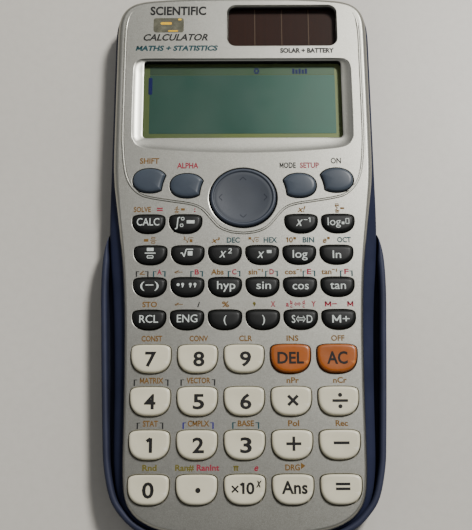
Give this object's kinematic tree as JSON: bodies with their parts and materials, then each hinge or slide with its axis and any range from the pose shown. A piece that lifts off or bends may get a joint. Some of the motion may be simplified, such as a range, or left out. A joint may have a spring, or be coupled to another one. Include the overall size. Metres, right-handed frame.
{
  "type": "scientific calculator",
  "caption": "Handheld scientific calculator seated in its slide-on hard case, with sprung keys, a rocking cursor pad, a recessed display and a solar window.",
  "frame": {"origin": "middle of the underside of the hard case, at the centre of the whole part's footprint", "axes": "+Y towards the display end, +X to the reader's right, +Z out of the key tops"},
  "size_m": [0.0804, 0.164, 0.0128],
  "materials": {
    "silver_plate": "silver metallic paint, satin",
    "navy_shell": "navy moulded plastic, fine matt grain",
    "navy_case": "navy moulded plastic, satin",
    "clear_window": "clear polished plastic",
    "lcd_glass": "green reflective display glass",
    "solar_cell": "dark brown amorphous silicon",
    "circuit_board": "green solder mask",
    "mat_rubber": "grey silicone rubber",
    "cell_steel": "bright steel can",
    "screw_steel": "zinc plated",
    "slate_key": "slate blue, satin gloss",
    "pad_plastic": "slate blue, satin",
    "dark_key": "near black, satin gloss",
    "ivory_key": "warm ivory, satin gloss",
    "orange_key": "orange, satin gloss"
  },
  "bodies": {
    "calculator": {"front_case": "silver_plate", "back_cover": "navy_shell", "display_window": "clear_window", "solar_window": "clear_window", "lcd_panel": "lcd_glass", "solar_cell": "solar_cell", "circuit_board": "circuit_board", "key_mat": "mat_rubber", "battery_cell": "cell_steel", "battery_cover": "navy_shell", "screws": "screw_steel"},
    "hard_case": {"hard_case": "navy_case"},
    "replay_pivot": {"replay_pivot": "mat_rubber"},
    "replay_pad": {"replay_pad": "pad_plastic"},
    "key_shift": {"key_shift": "slate_key"},
    "key_alpha": {"key_alpha": "slate_key"},
    "key_mode": {"key_mode": "slate_key"},
    "key_on": {"key_on": "slate_key"},
    "key_calc": {"key_calc": "dark_key"},
    "key_integral": {"key_integral": "dark_key"},
    "key_reciprocal": {"key_reciprocal": "dark_key"},
    "key_log_base": {"key_log_base": "dark_key"},
    "key_fraction": {"key_fraction": "dark_key"},
    "key_root": {"key_root": "dark_key"},
    "key_square": {"key_square": "dark_key"},
    "key_power": {"key_power": "dark_key"},
    "key_log": {"key_log": "dark_key"},
    "key_ln": {"key_ln": "dark_key"},
    "key_negative": {"key_negative": "dark_key"},
    "key_degrees": {"key_degrees": "dark_key"},
    "key_hyp": {"key_hyp": "dark_key"},
    "key_sin": {"key_sin": "dark_key"},
    "key_cos": {"key_cos": "dark_key"},
    "key_tan": {"key_tan": "dark_key"},
    "key_recall": {"key_recall": "dark_key"},
    "key_eng": {"key_eng": "dark_key"},
    "key_open_bracket": {"key_open_bracket": "dark_key"},
    "key_close_bracket": {"key_close_bracket": "dark_key"},
    "key_s_d": {"key_s_d": "dark_key"},
    "key_m_plus": {"key_m_plus": "dark_key"},
    "key_7": {"key_7": "ivory_key"},
    "key_8": {"key_8": "ivory_key"},
    "key_9": {"key_9": "ivory_key"},
    "key_del": {"key_del": "orange_key"},
    "key_ac": {"key_ac": "orange_key"},
    "key_4": {"key_4": "ivory_key"},
    "key_5": {"key_5": "ivory_key"},
    "key_6": {"key_6": "ivory_key"},
    "key_times": {"key_times": "ivory_key"},
    "key_divide": {"key_divide": "ivory_key"},
    "key_1": {"key_1": "ivory_key"},
    "key_2": {"key_2": "ivory_key"},
    "key_3": {"key_3": "ivory_key"},
    "key_plus": {"key_plus": "ivory_key"},
    "key_minus": {"key_minus": "ivory_key"},
    "key_0": {"key_0": "ivory_key"},
    "key_point": {"key_point": "ivory_key"},
    "key_exp": {"key_exp": "ivory_key"},
    "key_ans": {"key_ans": "ivory_key"},
    "key_equals": {"key_equals": "ivory_key"}
  },
  "joints": [
    {"name": "hard_case_slide", "type": "slide", "parent": "calculator", "child": "hard_case", "axis": [0, -1, 0], "range_m": [0, 0.165]},
    {"name": "replay_tilt_up_down", "type": "hinge", "parent": "calculator", "child": "replay_pivot", "pos_m": [0, 0.01547, 0.01], "axis": [1, 0, 0], "range_deg": [-4, 4], "stiffness_Nm_per_rad": 0.09},
    {"name": "replay_tilt_left_right", "type": "hinge", "parent": "replay_pivot", "child": "replay_pad", "pos_m": [0, 0.01547, 0.01], "axis": [0, 1, 0], "range_deg": [-4, 4], "stiffness_Nm_per_rad": 0.09},
    {"name": "key_shift_press", "type": "slide", "parent": "calculator", "child": "key_shift", "axis": [0, 0, -1], "range_m": [0, 0.001], "stiffness_N_per_m": 600, "springref_m": -0.0005, "deforming": ["key_mat"]},
    {"name": "key_alpha_press", "type": "slide", "parent": "calculator", "child": "key_alpha", "axis": [0, 0, -1], "range_m": [0, 0.001], "stiffness_N_per_m": 600, "springref_m": -0.0005},
    {"name": "key_mode_press", "type": "slide", "parent": "calculator", "child": "key_mode", "axis": [0, 0, -1], "range_m": [0, 0.001], "stiffness_N_per_m": 600, "springref_m": -0.0005},
    {"name": "key_on_press", "type": "slide", "parent": "calculator", "child": "key_on", "axis": [0, 0, -1], "range_m": [0, 0.001], "stiffness_N_per_m": 600, "springref_m": -0.0005},
    {"name": "key_calc_press", "type": "slide", "parent": "calculator", "child": "key_calc", "axis": [0, 0, -1], "range_m": [0, 0.001], "stiffness_N_per_m": 600, "springref_m": -0.0005},
    {"name": "key_integral_press", "type": "slide", "parent": "calculator", "child": "key_integral", "axis": [0, 0, -1], "range_m": [0, 0.001], "stiffness_N_per_m": 600, "springref_m": -0.0005},
    {"name": "key_reciprocal_press", "type": "slide", "parent": "calculator", "child": "key_reciprocal", "axis": [0, 0, -1], "range_m": [0, 0.001], "stiffness_N_per_m": 600, "springref_m": -0.0005},
    {"name": "key_log_base_press", "type": "slide", "parent": "calculator", "child": "key_log_base", "axis": [0, 0, -1], "range_m": [0, 0.001], "stiffness_N_per_m": 600, "springref_m": -0.0005},
    {"name": "key_fraction_press", "type": "slide", "parent": "calculator", "child": "key_fraction", "axis": [0, 0, -1], "range_m": [0, 0.001], "stiffness_N_per_m": 600, "springref_m": -0.0005},
    {"name": "key_root_press", "type": "slide", "parent": "calculator", "child": "key_root", "axis": [0, 0, -1], "range_m": [0, 0.001], "stiffness_N_per_m": 600, "springref_m": -0.0005},
    {"name": "key_square_press", "type": "slide", "parent": "calculator", "child": "key_square", "axis": [0, 0, -1], "range_m": [0, 0.001], "stiffness_N_per_m": 600, "springref_m": -0.0005},
    {"name": "key_power_press", "type": "slide", "parent": "calculator", "child": "key_power", "axis": [0, 0, -1], "range_m": [0, 0.001], "stiffness_N_per_m": 600, "springref_m": -0.0005},
    {"name": "key_log_press", "type": "slide", "parent": "calculator", "child": "key_log", "axis": [0, 0, -1], "range_m": [0, 0.001], "stiffness_N_per_m": 600, "springref_m": -0.0005},
    {"name": "key_ln_press", "type": "slide", "parent": "calculator", "child": "key_ln", "axis": [0, 0, -1], "range_m": [0, 0.001], "stiffness_N_per_m": 600, "springref_m": -0.0005},
    {"name": "key_negative_press", "type": "slide", "parent": "calculator", "child": "key_negative", "axis": [0, 0, -1], "range_m": [0, 0.001], "stiffness_N_per_m": 600, "springref_m": -0.0005},
    {"name": "key_degrees_press", "type": "slide", "parent": "calculator", "child": "key_degrees", "axis": [0, 0, -1], "range_m": [0, 0.001], "stiffness_N_per_m": 600, "springref_m": -0.0005},
    {"name": "key_hyp_press", "type": "slide", "parent": "calculator", "child": "key_hyp", "axis": [0, 0, -1], "range_m": [0, 0.001], "stiffness_N_per_m": 600, "springref_m": -0.0005},
    {"name": "key_sin_press", "type": "slide", "parent": "calculator", "child": "key_sin", "axis": [0, 0, -1], "range_m": [0, 0.001], "stiffness_N_per_m": 600, "springref_m": -0.0005},
    {"name": "key_cos_press", "type": "slide", "parent": "calculator", "child": "key_cos", "axis": [0, 0, -1], "range_m": [0, 0.001], "stiffness_N_per_m": 600, "springref_m": -0.0005},
    {"name": "key_tan_press", "type": "slide", "parent": "calculator", "child": "key_tan", "axis": [0, 0, -1], "range_m": [0, 0.001], "stiffness_N_per_m": 600, "springref_m": -0.0005},
    {"name": "key_recall_press", "type": "slide", "parent": "calculator", "child": "key_recall", "axis": [0, 0, -1], "range_m": [0, 0.001], "stiffness_N_per_m": 600, "springref_m": -0.0005},
    {"name": "key_eng_press", "type": "slide", "parent": "calculator", "child": "key_eng", "axis": [0, 0, -1], "range_m": [0, 0.001], "stiffness_N_per_m": 600, "springref_m": -0.0005},
    {"name": "key_open_bracket_press", "type": "slide", "parent": "calculator", "child": "key_open_bracket", "axis": [0, 0, -1], "range_m": [0, 0.001], "stiffness_N_per_m": 600, "springref_m": -0.0005},
    {"name": "key_close_bracket_press", "type": "slide", "parent": "calculator", "child": "key_close_bracket", "axis": [0, 0, -1], "range_m": [0, 0.001], "stiffness_N_per_m": 600, "springref_m": -0.0005},
    {"name": "key_s_d_press", "type": "slide", "parent": "calculator", "child": "key_s_d", "axis": [0, 0, -1], "range_m": [0, 0.001], "stiffness_N_per_m": 600, "springref_m": -0.0005},
    {"name": "key_m_plus_press", "type": "slide", "parent": "calculator", "child": "key_m_plus", "axis": [0, 0, -1], "range_m": [0, 0.001], "stiffness_N_per_m": 600, "springref_m": -0.0005},
    {"name": "key_7_press", "type": "slide", "parent": "calculator", "child": "key_7", "axis": [0, 0, -1], "range_m": [0, 0.001], "stiffness_N_per_m": 600, "springref_m": -0.0005},
    {"name": "key_8_press", "type": "slide", "parent": "calculator", "child": "key_8", "axis": [0, 0, -1], "range_m": [0, 0.001], "stiffness_N_per_m": 600, "springref_m": -0.0005},
    {"name": "key_9_press", "type": "slide", "parent": "calculator", "child": "key_9", "axis": [0, 0, -1], "range_m": [0, 0.001], "stiffness_N_per_m": 600, "springref_m": -0.0005},
    {"name": "key_del_press", "type": "slide", "parent": "calculator", "child": "key_del", "axis": [0, 0, -1], "range_m": [0, 0.001], "stiffness_N_per_m": 600, "springref_m": -0.0005},
    {"name": "key_ac_press", "type": "slide", "parent": "calculator", "child": "key_ac", "axis": [0, 0, -1], "range_m": [0, 0.001], "stiffness_N_per_m": 600, "springref_m": -0.0005},
    {"name": "key_4_press", "type": "slide", "parent": "calculator", "child": "key_4", "axis": [0, 0, -1], "range_m": [0, 0.001], "stiffness_N_per_m": 600, "springref_m": -0.0005},
    {"name": "key_5_press", "type": "slide", "parent": "calculator", "child": "key_5", "axis": [0, 0, -1], "range_m": [0, 0.001], "stiffness_N_per_m": 600, "springref_m": -0.0005},
    {"name": "key_6_press", "type": "slide", "parent": "calculator", "child": "key_6", "axis": [0, 0, -1], "range_m": [0, 0.001], "stiffness_N_per_m": 600, "springref_m": -0.0005},
    {"name": "key_times_press", "type": "slide", "parent": "calculator", "child": "key_times", "axis": [0, 0, -1], "range_m": [0, 0.001], "stiffness_N_per_m": 600, "springref_m": -0.0005},
    {"name": "key_divide_press", "type": "slide", "parent": "calculator", "child": "key_divide", "axis": [0, 0, -1], "range_m": [0, 0.001], "stiffness_N_per_m": 600, "springref_m": -0.0005},
    {"name": "key_1_press", "type": "slide", "parent": "calculator", "child": "key_1", "axis": [0, 0, -1], "range_m": [0, 0.001], "stiffness_N_per_m": 600, "springref_m": -0.0005},
    {"name": "key_2_press", "type": "slide", "parent": "calculator", "child": "key_2", "axis": [0, 0, -1], "range_m": [0, 0.001], "stiffness_N_per_m": 600, "springref_m": -0.0005},
    {"name": "key_3_press", "type": "slide", "parent": "calculator", "child": "key_3", "axis": [0, 0, -1], "range_m": [0, 0.001], "stiffness_N_per_m": 600, "springref_m": -0.0005},
    {"name": "key_plus_press", "type": "slide", "parent": "calculator", "child": "key_plus", "axis": [0, 0, -1], "range_m": [0, 0.001], "stiffness_N_per_m": 600, "springref_m": -0.0005},
    {"name": "key_minus_press", "type": "slide", "parent": "calculator", "child": "key_minus", "axis": [0, 0, -1], "range_m": [0, 0.001], "stiffness_N_per_m": 600, "springref_m": -0.0005},
    {"name": "key_0_press", "type": "slide", "parent": "calculator", "child": "key_0", "axis": [0, 0, -1], "range_m": [0, 0.001], "stiffness_N_per_m": 600, "springref_m": -0.0005},
    {"name": "key_point_press", "type": "slide", "parent": "calculator", "child": "key_point", "axis": [0, 0, -1], "range_m": [0, 0.001], "stiffness_N_per_m": 600, "springref_m": -0.0005},
    {"name": "key_exp_press", "type": "slide", "parent": "calculator", "child": "key_exp", "axis": [0, 0, -1], "range_m": [0, 0.001], "stiffness_N_per_m": 600, "springref_m": -0.0005},
    {"name": "key_ans_press", "type": "slide", "parent": "calculator", "child": "key_ans", "axis": [0, 0, -1], "range_m": [0, 0.001], "stiffness_N_per_m": 600, "springref_m": -0.0005},
    {"name": "key_equals_press", "type": "slide", "parent": "calculator", "child": "key_equals", "axis": [0, 0, -1], "range_m": [0, 0.001], "stiffness_N_per_m": 600, "springref_m": -0.0005}
  ]
}
